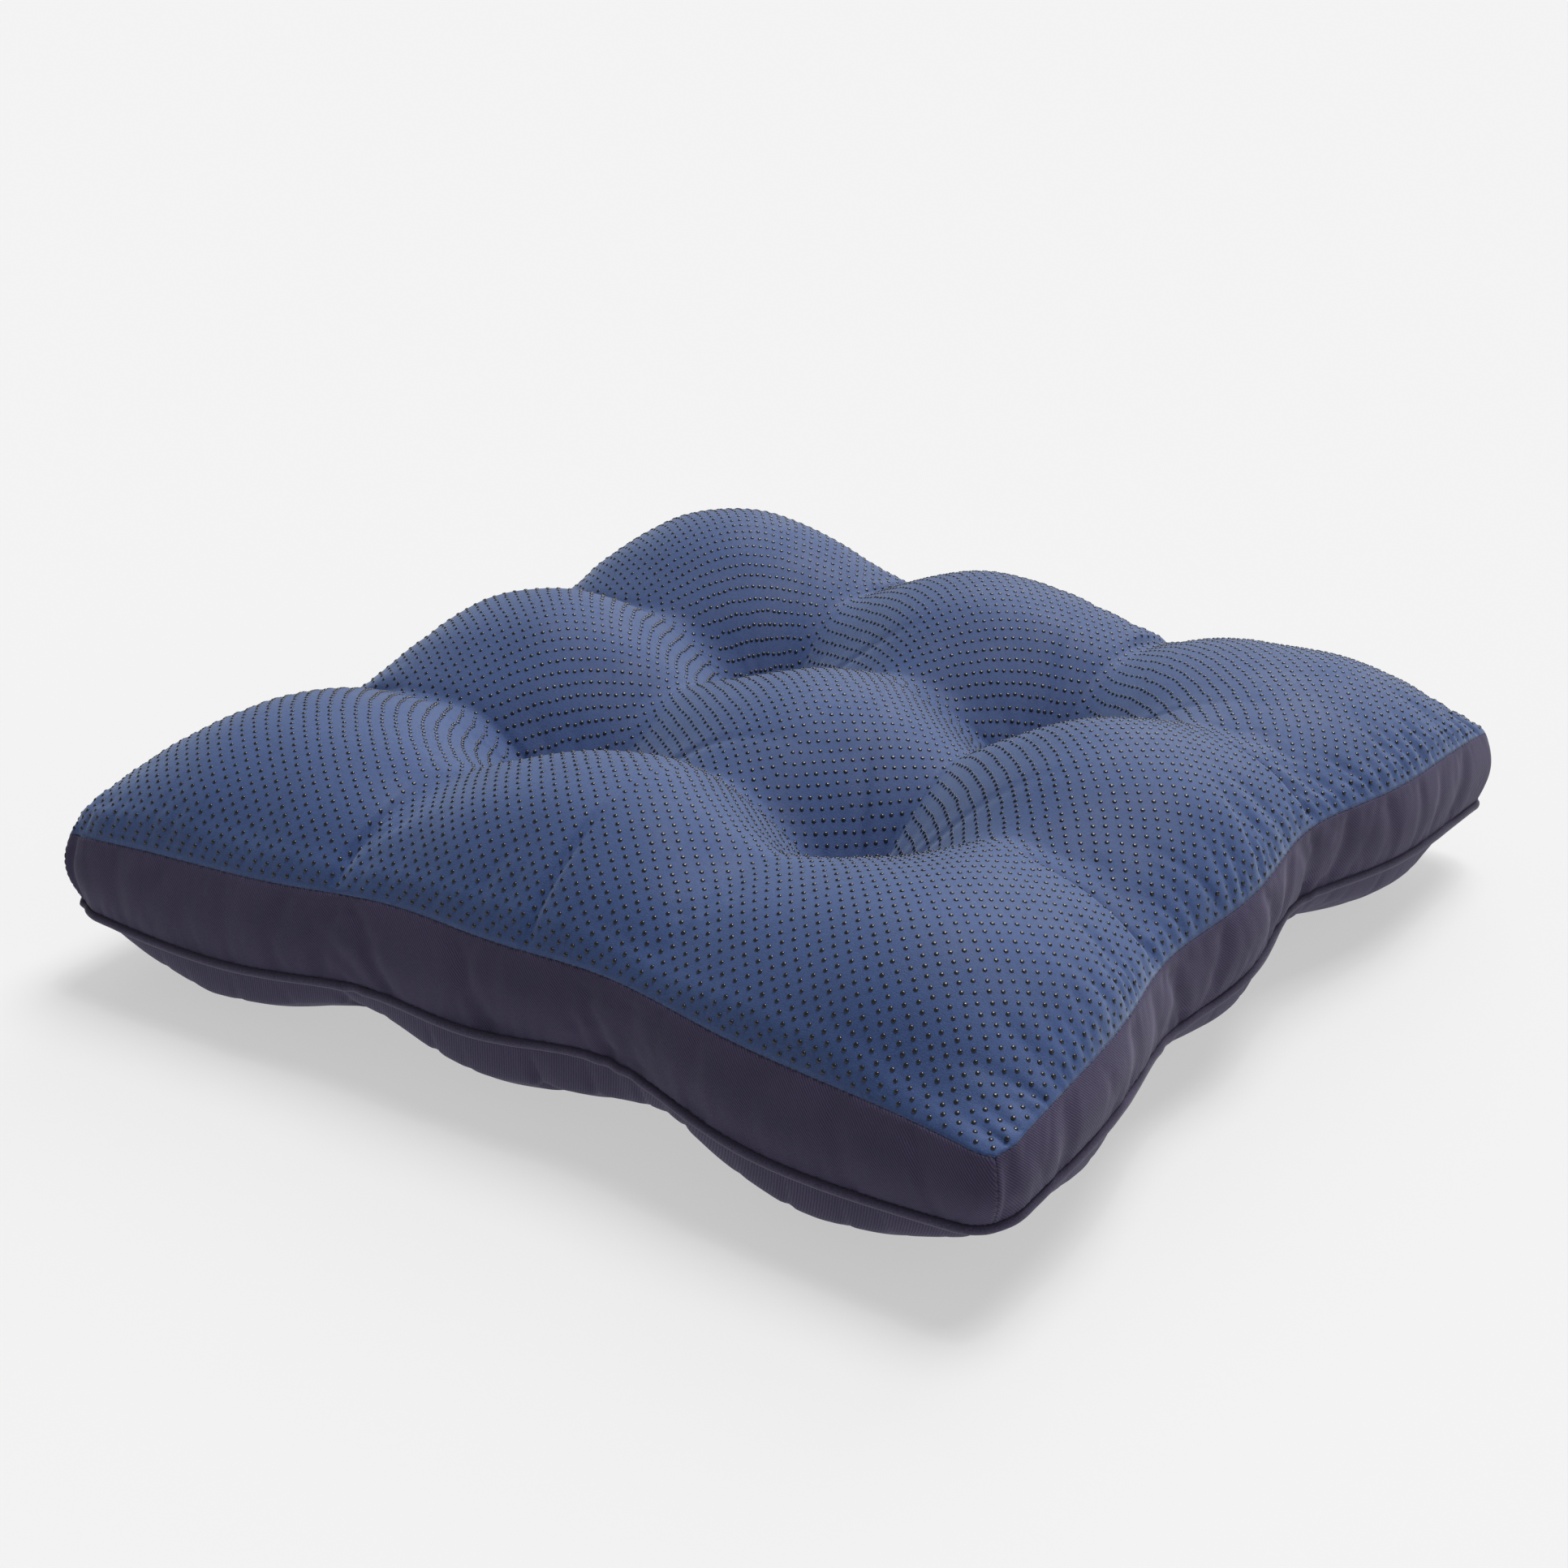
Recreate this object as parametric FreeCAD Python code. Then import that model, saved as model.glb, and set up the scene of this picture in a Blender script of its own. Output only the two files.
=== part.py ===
import FreeCAD, Part
import math
import os

# Tufted box seat cushion. Millimetres, +Z up, origin on the floor under the middle.
# Front is -Y, right is +X. Everything repeats four times about Z.
# u and v run from -1 to 1 over a panel, with the tufts at one third.

# Driving dimensions
SIDE = 450.0                # corner to corner along the top seam
CORNER_LOBE_TOP = 115.0     # aim of a lobe's crown, before the spline rounds it off by 2 mm
SIDE_LOBE_TOP = 123.0
CENTRE_LOBE_TOP = 112.0
SADDLE_TOP = 92.0           # valley between two lobes on the top
TUFT_TOP = 52.0             # bottom of a dimple on the top
TUFT_BOTTOM = 32.0          # roof of a dimple on the underside
SADDLE_BOTTOM = 14.0        # valley between two lobes on the underside
TOP_SEAM_CORNER = 65.0      # height of the top seam at a corner
TOP_SEAM_MIDDLE = 77.0      # height of the top seam halfway along a side
PIPING_HEIGHT = 33.0        # height of the piping all round
TOP_PULL = 4.0              # how far the top seam draws in between the corners
PIPING_PULL = 9.0           # the same for the piping
GUSSET_BULGE = 3.0          # how far the gusset swells between its two seams

# Sheet goods and thread
PANEL_THICKNESS = 1.2
GUSSET_THICKNESS = 1.0
THREAD_RADIUS = 0.6
TIE_RADIUS = 1.2
PIPING_RADIUS = 2.6
PIPING_CORD_RADIUS = 1.7
CLEARANCE = 0.3

# Derived sizes
HALF = SIDE / 2.0
TUFT_U = 1.0 / 3.0
PINCH_WIDTH = 0.11                              # spread, in u, of a valley's pull on a seam
TOP_PINCH = 6.0                                 # extra draw-in where a valley meets the top seam
PIPING_PINCH = 10.0                             # the same at the piping
FILL_DEPTH = PANEL_THICKNESS + 2.0 * CLEARANCE  # how deep the fill lies under the skin
FILL_EDGE = 8.0                                 # how far the fill stays back from the seams
SEAM_GAP = 3.0 * THREAD_RADIUS                  # from a seam's centre line to the cloth beside it
PIPING_GAP = PIPING_RADIUS + CLEARANCE
PIPING_STANDOUT = 0.5                           # how far the piping's centre stands out of the seam
CORNER_SEAM_GAP = 2.2                           # from a corner's edge to the end of a gusset strip
FLOOR_BITE = 0.5                                # depth of the underside that the floor flattens
TIE_HOLE_RADIUS = TIE_RADIUS + CLEARANCE
TIE_BAR_LENGTH = 6.0                            # the stitch that shows on each side of a tie
TIE_BAR_CLEARANCE = 0.8                         # room for the dimple's curve under the stitch
PANEL_POLES = 28                                # nine spans to a lobe, so tufts fall on poles
GUSSET_POLES = 5
THREAD_SIDES = 8
PIPING_SIDES = 16
STEP = 1.0e-4                                   # small step in u for slopes
DIMPLE_ROUNDING = 0.25                          # 0 gives sharp valleys, larger rounds them
EDGE_FULLNESS = 0.62                            # below 1, the lobes stand up steeply at the seams

QUARTER_TURN = 90.0
SIDE_NAMES = ["front", "right", "back", "left"]
CORNER_NAMES = ["front_right", "back_right", "back_left", "front_left"]


def crown(u):
    """1 on the middle line of a lobe, 0 on a tuft line, 1 past the outer lobes' middles."""
    if abs(u) > 2.0 * TUFT_U:
        return 1.0
    wave = math.cos(1.5 * math.pi * u)
    rounded = math.sqrt(wave * wave + DIMPLE_ROUNDING ** 2) - DIMPLE_ROUNDING
    return rounded / (math.sqrt(1.0 + DIMPLE_ROUNDING ** 2) - DIMPLE_ROUNDING)


def edge_fade(u):
    """1 over the inner lobes, falling to 0 at the seam."""
    beyond = min(max((abs(u) - 2.0 * TUFT_U) / TUFT_U, 0.0), 1.0)
    return (1.0 - beyond * beyond) ** EDGE_FULLNESS


def side_swell(s):
    """0 at the corners, nearly 1 along the rest of a side."""
    return 1.0 - s ** 4


def draw_in(s, pull, pinch):
    """How far a seam lies inside the straight line between its corners."""
    valley = math.exp(-((abs(s) - TUFT_U) / PINCH_WIDTH) ** 2)
    return pull * side_swell(s) + pinch * valley


def top_seam_height(s):
    return TOP_SEAM_CORNER + (TOP_SEAM_MIDDLE - TOP_SEAM_CORNER) * side_swell(s)


def crest_of_lobe(u, v):
    """The corner lobes stand lower than those halfway along a side, and the middle one lowest."""
    outer = (abs(u) > TUFT_U) + (abs(v) > TUFT_U)
    return [CENTRE_LOBE_TOP, SIDE_LOBE_TOP, CORNER_LOBE_TOP][outer]


def lobed_height(u, v, tuft, saddle, crest):
    """Height of three by three lobes held down at four tufts."""
    across = crown(u)
    along = crown(v)
    both = across * along
    return tuft + (saddle - tuft) * (across + along - 2.0 * both) + (crest - tuft) * both


def panel_height(u, v, seam, lobes):
    fade = edge_fade(u) * edge_fade(v)
    return seam * (1.0 - fade) + lobes * fade


def top_point(u, v):
    x = u * (HALF - draw_in(v, TOP_PULL, TOP_PINCH))
    y = v * (HALF - draw_in(u, TOP_PULL, TOP_PINCH))
    seam = top_seam_height(u) + top_seam_height(v) - TOP_SEAM_CORNER + SEAM_GAP
    lobes = lobed_height(u, v, TUFT_TOP, SADDLE_TOP, crest_of_lobe(u, v))
    return FreeCAD.Vector(x, y, panel_height(u, v, seam, lobes))


def bottom_point(u, v):
    x = u * (HALF - draw_in(v, PIPING_PULL, PIPING_PINCH))
    y = v * (HALF - draw_in(u, PIPING_PULL, PIPING_PINCH))
    lobes = lobed_height(u, v, TUFT_BOTTOM, SADDLE_BOTTOM, -PIPING_GAP)
    return FreeCAD.Vector(x, y, panel_height(u, v, PIPING_HEIGHT - PIPING_GAP, lobes))


def front_gusset_point(s, t):
    """s runs left to right along the front, t from the piping up to the top seam."""
    low = FreeCAD.Vector(s * HALF, draw_in(s, PIPING_PULL, PIPING_PINCH) - HALF, PIPING_HEIGHT + PIPING_GAP)
    high = FreeCAD.Vector(s * HALF, draw_in(s, TOP_PULL, TOP_PINCH) - HALF, top_seam_height(s) - SEAM_GAP)
    bulge = GUSSET_BULGE * side_swell(s) * math.sin(math.pi * t)
    return low + (high - low) * t + FreeCAD.Vector(0.0, -bulge, 0.0)


def at_edge(value):
    return abs(value) > 1.0 - STEP


def outward(surface, u, v):
    """Unit normal that points out of the cushion; level on the seams, mitred at the corners."""
    if at_edge(u) or at_edge(v):
        x = math.copysign(1.0, u) if at_edge(u) else 0.0
        y = math.copysign(1.0, v) if at_edge(v) else 0.0
        return FreeCAD.Vector(x, y, 0.0)
    along_u = surface(u + STEP, v) - surface(u - STEP, v)
    along_v = surface(u, v + STEP) - surface(u, v - STEP)
    normal = along_u.cross(along_v).normalize()
    return normal if surface is top_point else normal * -1.0


def stations(count, low=-1.0, high=1.0):
    return [low + (high - low) * i / (count - 1) for i in range(count)]


def panel_grid(surface, depth, edge_depth, floor):
    """Poles of a panel's surface, sunk by depth, and kept above floor."""
    rows = []
    for u in stations(PANEL_POLES):
        row = []
        for v in stations(PANEL_POLES):
            sink = edge_depth if at_edge(u) or at_edge(v) else depth
            point = surface(u, v) - outward(surface, u, v) * sink
            point.z = max(point.z, floor)
            row.append(point)
        rows.append(row)
    return rows


def gusset_grid(depth, margin):
    """Poles of the front gusset strip, sunk by depth, ending margin short of each corner."""
    reach = 1.0 - margin / HALF
    rows = []
    for s in stations(PANEL_POLES, -reach, reach):
        row = []
        for t in stations(GUSSET_POLES, 0.0, 1.0):
            row.append(front_gusset_point(s, t) + FreeCAD.Vector(0.0, depth, 0.0))
        rows.append(row)
    return rows


def clamped_knots(count, degree):
    """Even knots and their multiplicities for an open spline that ends on its end poles."""
    spans = count - degree
    knots = [float(i) for i in range(spans + 1)]
    mults = [degree + 1] + [1] * (spans - 1) + [degree + 1]
    return knots, mults


def spline_face(grid):
    """Face on a spline surface; two neighbours with the same edge poles share that edge exactly."""
    u_degree = min(3, len(grid) - 1)
    v_degree = min(3, len(grid[0]) - 1)
    u_knots, u_mults = clamped_knots(len(grid), u_degree)
    v_knots, v_mults = clamped_knots(len(grid[0]), v_degree)
    surface = Part.BSplineSurface()
    surface.buildFromPolesMultsKnots(grid, u_mults, v_mults, u_knots, v_knots, False, False,
                                     u_degree, v_degree)
    return surface.toShape()


def closed_solid(faces):
    shell = Part.makeShell(faces)
    if len(faces) > 1:
        shell.sewShape()
    solid = Part.Solid(shell)
    if solid.Volume < 0.0:
        solid.reverse()
    return solid


def border(grid):
    """The four edge rows of a grid of poles."""
    first = grid[0]
    last = grid[-1]
    start = [row[0] for row in grid]
    end = [row[-1] for row in grid]
    return [first, last, start, end]


def slab(outer, inner):
    """Sheet between two grids of poles, with straight sides from one border to the other."""
    faces = [spline_face(outer), spline_face(inner)]
    for outer_row, inner_row in zip(border(outer), border(inner)):
        faces.append(spline_face([outer_row, inner_row]))
    return closed_solid(faces)


def turned(shape, quarters):
    """A copy turned about Z by so many quarter turns."""
    copy = shape.copy()
    copy.rotate(FreeCAD.Vector(0, 0, 0), FreeCAD.Vector(0, 0, 1), QUARTER_TURN * quarters)
    return copy


def upright_cylinder(radius, x, y, low, high):
    return Part.makeCylinder(radius, high - low, FreeCAD.Vector(x, y, low))


def tuft_places():
    """Plan position of each tuft, in the order of CORNER_NAMES."""
    spot = top_point(TUFT_U, -TUFT_U)
    places = []
    for quarters in range(4):
        angle = math.radians(QUARTER_TURN * quarters)
        x = spot.x * math.cos(angle) - spot.y * math.sin(angle)
        y = spot.x * math.sin(angle) + spot.y * math.cos(angle)
        places.append((x, y))
    return places


def drill_for_ties(shape, radius):
    for x, y in tuft_places():
        shape = shape.cut(upright_cylinder(radius, x, y, -SIDE, SIDE))
    return shape


def top_panel():
    outer = panel_grid(top_point, 0.0, 0.0, 0.0)
    inner = panel_grid(top_point, PANEL_THICKNESS, PANEL_THICKNESS, 0.0)
    return drill_for_ties(slab(outer, inner), TIE_HOLE_RADIUS)


def bottom_panel():
    """The lobes of the underside are cut off flat where the floor meets them."""
    outer = panel_grid(bottom_point, 0.0, 0.0, -FLOOR_BITE)
    inner = panel_grid(bottom_point, PANEL_THICKNESS, PANEL_THICKNESS, PANEL_THICKNESS)
    sheet = slab(outer, inner)
    below_floor = Part.makeBox(SIDE, SIDE, SIDE, FreeCAD.Vector(-HALF, -HALF, -SIDE))
    return drill_for_ties(sheet.cut(below_floor), TIE_HOLE_RADIUS)


def front_gusset():
    outer = gusset_grid(0.0, CORNER_SEAM_GAP)
    inner = gusset_grid(GUSSET_THICKNESS, CORNER_SEAM_GAP)
    return slab(outer, inner)


def fill_side_faces(top, bottom):
    """Upright faces of the fill, from the border of its top to the border of its underside."""
    swell = [GUSSET_BULGE * side_swell(s) for s in stations(PANEL_POLES)]
    directions = [(-1.0, 0.0), (1.0, 0.0), (0.0, -1.0), (0.0, 1.0)]
    faces = []
    for top_row, bottom_row, direction in zip(border(top), border(bottom), directions):
        columns = []
        for high, low, bulge in zip(top_row, bottom_row, swell):
            column = []
            for t in stations(GUSSET_POLES, 0.0, 1.0):
                push = bulge * math.sin(math.pi * t)
                offset = FreeCAD.Vector(direction[0] * push, direction[1] * push, 0.0)
                column.append(low + (high - low) * t + offset)
            columns.append(column)
        faces.append(spline_face(columns))
    return faces


def fibre_fill():
    top = panel_grid(top_point, FILL_DEPTH, FILL_EDGE, 0.0)
    bottom = panel_grid(bottom_point, FILL_DEPTH, FILL_EDGE, FILL_DEPTH)
    faces = [spline_face(top), spline_face(bottom)] + fill_side_faces(top, bottom)
    return drill_for_ties(closed_solid(faces), TIE_HOLE_RADIUS)


def seam_loop(pull, pinch, height, standout):
    """Points once round the cushion along a seam, standing out of it by standout."""
    points = []
    for quarters in range(4):
        angle = math.radians(QUARTER_TURN * quarters)
        for s in stations(PANEL_POLES)[:-1]:
            x = s * (HALF + standout)
            y = draw_in(s, pull, pinch) - HALF - standout
            turned_x = x * math.cos(angle) - y * math.sin(angle)
            turned_y = x * math.sin(angle) + y * math.cos(angle)
            points.append(FreeCAD.Vector(turned_x, turned_y, height(s)))
    return points


def tube_loop(points, radius, sides):
    """Closed tube round a loop of points, sewn from narrow strips. Its section is as large as a round one."""
    corner_angle = 2.0 * math.pi / sides
    corner_radius = radius * math.sqrt(corner_angle / math.sin(corner_angle))
    rings = []
    for index, point in enumerate(points):
        ahead = points[(index + 1) % len(points)] - points[index - 1]
        sideways = FreeCAD.Vector(ahead.y, -ahead.x, 0.0).normalize()
        lift = sideways.cross(ahead).normalize()
        ring = []
        for step in range(sides + 1):
            angle = corner_angle * (step % sides)
            ring.append(point + (sideways * math.cos(angle) + lift * math.sin(angle)) * corner_radius)
        rings.append(ring)
    knots = [float(i) for i in range(len(rings) + 1)]
    strips = []
    for side in range(sides):
        edges = [[ring[side], ring[side + 1]] for ring in rings]
        surface = Part.BSplineSurface()
        surface.buildFromPolesMultsKnots(edges, [1] * len(knots), [2, 2], knots, [0.0, 1.0],
                                         True, False, 3, 1)
        strips.append(surface.toShape())
    return closed_solid(strips)


def piping_height(s):
    return PIPING_HEIGHT


def piping_loop(radius, standout, sides):
    return tube_loop(seam_loop(PIPING_PULL, PIPING_PINCH, piping_height, standout), radius, sides)


def piping_cover():
    outside = piping_loop(PIPING_RADIUS, PIPING_STANDOUT, PIPING_SIDES)
    inside = piping_loop(PIPING_CORD_RADIUS + CLEARANCE / 2.0, PIPING_STANDOUT, PIPING_SIDES)
    return outside.cut(inside)


def top_seam_thread():
    stitch_line = seam_loop(TOP_PULL, TOP_PINCH, top_seam_height, -THREAD_RADIUS)
    return tube_loop(stitch_line, THREAD_RADIUS, THREAD_SIDES)


def piping_seam_thread():
    behind_piping = PIPING_STANDOUT - PIPING_GAP - THREAD_RADIUS - CLEARANCE
    return piping_loop(THREAD_RADIUS, behind_piping, THREAD_SIDES)


def corner_seam_thread():
    """Upright thread in the groove where the front and right gusset strips meet."""
    inset = HALF - GUSSET_THICKNESS
    low = PIPING_HEIGHT + PIPING_GAP + CLEARANCE
    high = TOP_SEAM_CORNER - SEAM_GAP
    return upright_cylinder(THREAD_RADIUS, inset, -inset, low, high)


def tie_bar(x, y, z):
    """Short stitch that lies across the dimple and stops the tie pulling through."""
    start = FreeCAD.Vector(x - TIE_BAR_LENGTH / 2.0, y, z)
    bar = Part.makeCylinder(TIE_RADIUS, TIE_BAR_LENGTH, start, FreeCAD.Vector(1, 0, 0))
    ends = [start, start + FreeCAD.Vector(TIE_BAR_LENGTH, 0, 0)]
    return bar.multiFuse([Part.makeSphere(TIE_RADIUS, end) for end in ends])


def surface_height(face, x, y):
    """Height at which an upright line through x, y meets a face."""
    line = Part.makeLine(FreeCAD.Vector(x, y, -SIDE), FreeCAD.Vector(x, y, SIDE))
    return face.distToShape(line)[1][0][0].z


def tuft_tie(x, y, top_face, bottom_face):
    """Thread through the cushion with a stitch on each side."""
    high = surface_height(top_face, x, y) + TIE_RADIUS + TIE_BAR_CLEARANCE
    low = surface_height(bottom_face, x, y) - TIE_RADIUS - TIE_BAR_CLEARANCE
    column = upright_cylinder(TIE_RADIUS, x, y, low, high)
    return column.multiFuse([tie_bar(x, y, low), tie_bar(x, y, high)]).removeSplitter()


def save(name, shape):
    shape.exportStep(os.path.join("parts", name + ".step"))


def main():
    os.makedirs("parts", exist_ok=True)
    save("top_panel", top_panel())
    save("bottom_panel", bottom_panel())
    save("fibre_fill", fibre_fill())
    save("piping_cover", piping_cover())
    save("piping_cord", piping_loop(PIPING_CORD_RADIUS, PIPING_STANDOUT, PIPING_SIDES))
    save("top_seam_thread", top_seam_thread())
    save("piping_seam_thread", piping_seam_thread())
    gusset = front_gusset()
    corner_thread = corner_seam_thread()
    top_face = spline_face(panel_grid(top_point, 0.0, 0.0, 0.0))
    bottom_face = spline_face(panel_grid(bottom_point, 0.0, 0.0, -FLOOR_BITE))
    for quarters in range(4):
        x, y = tuft_places()[quarters]
        save("gusset_" + SIDE_NAMES[quarters], turned(gusset, quarters))
        save("corner_thread_" + CORNER_NAMES[quarters], turned(corner_thread, quarters))
        save("tuft_tie_" + CORNER_NAMES[quarters], tuft_tie(x, y, top_face, bottom_face))


main()
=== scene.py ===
import math

import bpy
import numpy as np
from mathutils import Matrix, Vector


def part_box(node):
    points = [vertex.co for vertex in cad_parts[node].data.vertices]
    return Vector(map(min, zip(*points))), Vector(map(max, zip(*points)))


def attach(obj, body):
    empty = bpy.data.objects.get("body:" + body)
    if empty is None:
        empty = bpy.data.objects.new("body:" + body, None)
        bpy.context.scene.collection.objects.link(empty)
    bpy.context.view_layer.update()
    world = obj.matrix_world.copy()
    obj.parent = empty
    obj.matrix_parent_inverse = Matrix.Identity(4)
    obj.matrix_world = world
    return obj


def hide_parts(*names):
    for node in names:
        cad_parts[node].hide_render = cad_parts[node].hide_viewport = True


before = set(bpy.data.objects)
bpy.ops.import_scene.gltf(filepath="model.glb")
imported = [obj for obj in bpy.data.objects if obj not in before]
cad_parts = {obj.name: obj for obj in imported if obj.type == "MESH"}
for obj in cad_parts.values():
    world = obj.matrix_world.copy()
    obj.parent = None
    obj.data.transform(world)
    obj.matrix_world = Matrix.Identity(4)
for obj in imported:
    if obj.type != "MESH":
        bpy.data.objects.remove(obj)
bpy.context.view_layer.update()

# Tufted box seat cushion, metres. Front is -Y, right is +X. u and v run from -1 to 1 over a panel,
# s from -1 to 1 along a side and t from 0 at the piping to 1 at the top seam.
MM = 0.001
RANDOM = np.random.default_rng(7)

# The frame's own sizes
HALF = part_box("top_panel")[1][0]
SIDE = 2 * HALF
PIPING_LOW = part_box("piping_cover")[0][2]
PIPING_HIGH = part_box("piping_cover")[1][2]
PIPING_Z = (PIPING_LOW + PIPING_HIGH) / 2
CAD_THREAD_RADIUS = 0.6 * MM
TOP_CORNER_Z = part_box("top_seam_thread")[0][2] + CAD_THREAD_RADIUS

# Corners in the order front_left, front_right, back_right, back_left
CORNER_NAMES = ["front_left", "front_right", "back_right", "back_left"]
TOP_CORNERS = np.array([[-HALF - 3 * MM, -HALF, TOP_CORNER_Z],
                        [HALF - 1 * MM, -HALF, TOP_CORNER_Z - 2 * MM],
                        [HALF, HALF - 2 * MM, TOP_CORNER_Z],
                        [-HALF, HALF, TOP_CORNER_Z]])
PIPING_CORNERS = np.array([[-HALF - 2 * MM, -HALF, PIPING_Z + 1 * MM],
                           [HALF, -HALF, PIPING_Z + 3 * MM],
                           [HALF, HALF + 2 * MM, PIPING_Z - 2 * MM],
                           [-HALF, HALF, PIPING_Z]])

# How each side's two seams draw in and lift between the corners, in mm: (draw-in, lift) over the whole
# side, then (place along the side, draw-in, lift) where two lobes meet it. Creases are sharp folds as
# (place, depth).
SIDES = {
    "front": dict(top=(6.6, 5.0), top_valleys=[(-0.21, 5.9, 5.6), (0.21, 6.9, 5.4)],
                  piping=(-2.0, -4.3), piping_valleys=[(-0.265, 9.8, 6.6), (0.215, 14.3, 10.1)],
                  creases=[(-0.36, 4.0), (0.07, 4.0)]),
    "right": dict(top=(-1.7, 11.3), top_valleys=[(-0.31, 14.5, -3.8), (0.20, 13.4, 2.8)],
                  piping=(-2.0, 7.9), piping_valleys=[(-0.32, 15.2, -4.0), (0.21, 19.5, 1.7)],
                  creases=[(-0.40, 6.0), (0.24, 5.5)]),
    "back": dict(top=(3.0, 8.0), top_valleys=[(-0.26, 9.0, 1.5), (0.24, 10.0, 3.0)],
                 piping=(-2.0, 2.0), piping_valleys=[(-0.29, 12.5, 1.5), (0.22, 15.0, 4.5)],
                 creases=[(-0.34, 4.0), (0.31, 4.0)]),
    "left": dict(top=(2.0, 8.5), top_valleys=[(-0.24, 9.5, 2.0), (0.27, 9.0, 2.0)],
                 piping=(-2.0, 3.0), piping_valleys=[(-0.25, 13.5, 2.5), (0.27, 13.0, 2.0)],
                 creases=[(-0.32, 4.0), (0.35, 4.0)]),
}
SIDE_NAMES = list(SIDES)
ENDS = {"front": (0, 1), "right": (1, 2), "back": (3, 2), "left": (0, 3)}
INWARD = {"front": np.array([0.0, 1.0, 0.0]), "right": np.array([-1.0, 0.0, 0.0]),
          "back": np.array([0.0, -1.0, 0.0]), "left": np.array([1.0, 0.0, 0.0])}
UP = np.array([0.0, 0.0, 1.0])
VALLEY_WIDTH = 0.24

# The lobes. Heights are in mm, and crowns go by place, [across][along] from the front-left corner.
LOBES = 3
TOP_CROWNS = np.array([[112.0, 120.0, 120.0],
                       [121.0, 110.0, 115.0],
                       [112.0, 120.0, 107.0]])
TOP_SADDLE = 92.0
SADDLE_RISE = {"front": 11.0, "right": 10.0}    # how much shallower the valleys are that meet these sides
TOP_TUFT = 50.0
UNDER_TUFT = 32.0
UNDER_SADDLE = 12.0
UNDER_CROWN = -4.0
DIMPLE_ROUNDING = 0.10
EDGE_FULLNESS = {           # below 1, the lobes stand up steeply at that side's seam
    "top": {"front": 0.72, "right": 0.72, "back": 0.66, "left": 0.66},
    "piping": {"front": 0.36, "right": 0.55, "back": 0.45, "left": 0.45},
}
CORNER_THINNING = {         # how much thinner the corners are, [left, right][front, back]
    "top": np.array([[-0.3, -0.3], [0.9, 0.2]]),
    "piping": np.array([[0.8, 0.5], [0.5, 0.8]]),
}
CORNER_RADIUS = {"top": 12 * MM, "piping": 16 * MM}
GUSSET_BULGE = 4.0 * MM
CORNER_BULGE = 0.3          # share by which the bulge grows towards the corners
BULGE_TURN = 60 * MM        # length over which the bulge turns round a corner

# The cloth simulation
CELLS = 84                  # cells along a side
BAND_CELLS = 8              # cells up the gusset
FRAMES = 36
CUT_ALLOWANCE = 1.015       # the cloth is cut this much larger than the shape it is held to
TUFT_HOLD = 1.0
SEAM_HOLD = 0.40
CORNER_HOLD = 0.9
CLOTH_SETTINGS = {
    "quality": 5,
    "mass": 0.25,
    "tension_stiffness": 20.0,
    "compression_stiffness": 20.0,
    "shear_stiffness": 6.0,
    "bending_stiffness": 0.3,
    "bending_damping": 0.5,
    "air_damping": 3.0,
    "use_pressure": True,
    "uniform_pressure_force": 5.0,
}

# The fine patches that are read from the settled cloth
FINE_STEP = 1.7 * MM
BORDER_STEP = 1.1 * MM
BORDER = 36 * MM
FINE_ROWS_UP_GUSSET = 30
INNER_STEP = 4              # fine cells to one cell of a patch's inner face
CLOTH_THICKNESS = 0.9 * MM
FLOOR_ROUNDING = 1.5 * MM

# Seam grooves as (depth, width), and the swelling of the top cloth beside its seam
STITCH = SIDE / 150
STITCH_RELIEF = 0.28        # how much deeper a groove is at each stitch
TOP_GROOVE = (0.8 * MM, 0.9 * MM)
PIPING_GROOVE = (1.0 * MM, 2.0 * MM)
CORNER_GROOVE = (0.8 * MM, 1.2 * MM)
LIP_HEIGHT = 0.8 * MM
LIP_PLACE = 4.5 * MM
LIP_WIDTH = 3.5 * MM

# Puckers: short furrows that run from a seam into the cloth
PUCKER_DEPTHS = {"top": {"front": 0.5 * MM, "right": 1.7 * MM, "back": 1.5 * MM, "left": 0.9 * MM},
                 "piping": {name: 1.0 * MM for name in SIDES}}
PUCKER_SPACING = {"top": (4 * MM, 10 * MM), "piping": (9 * MM, 30 * MM)}
PUCKER_LENGTH = (10, 30)    # mm
PUCKER_LEAN = 0.5
PUCKER_WIDTH = 1.3 * MM
PUCKER_SPREAD = 0.10
PUCKER_START = 2.5 * MM
PUCKER_END_MARGIN = 8 * MM

# Sharp folds: a furrow, a drop on its one side and a roll on its other
FOLD_PLACE = 24 * MM        # where it is deepest, measured from the seam
FOLD_REACH = 28 * MM
FOLD_START = 4 * MM
FOLD_WANDER = 30 * MM       # length over which it strays from a straight line
FURROW = (0.8, 1.8 * MM)
DROP = (0.5, 0.9 * MM)
DROP_LENGTH = 8 * MM
ROLL = (0.35, 4 * MM)
ROLL_PLACE = 5 * MM

# Pleats that run out from each tuft
PLEATS = 16
PLEAT_DEPTH = 2.0 * MM
LONG_PLEATS = (45, 75)      # mm, along the valleys
SHORT_PLEATS = (16, 26)     # mm, between them
PLEAT_TURN = 0.12
PLEAT_WIDTH = 1.1 * MM
PLEAT_SPREAD = 0.035
PLEAT_START = 7 * MM

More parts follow.
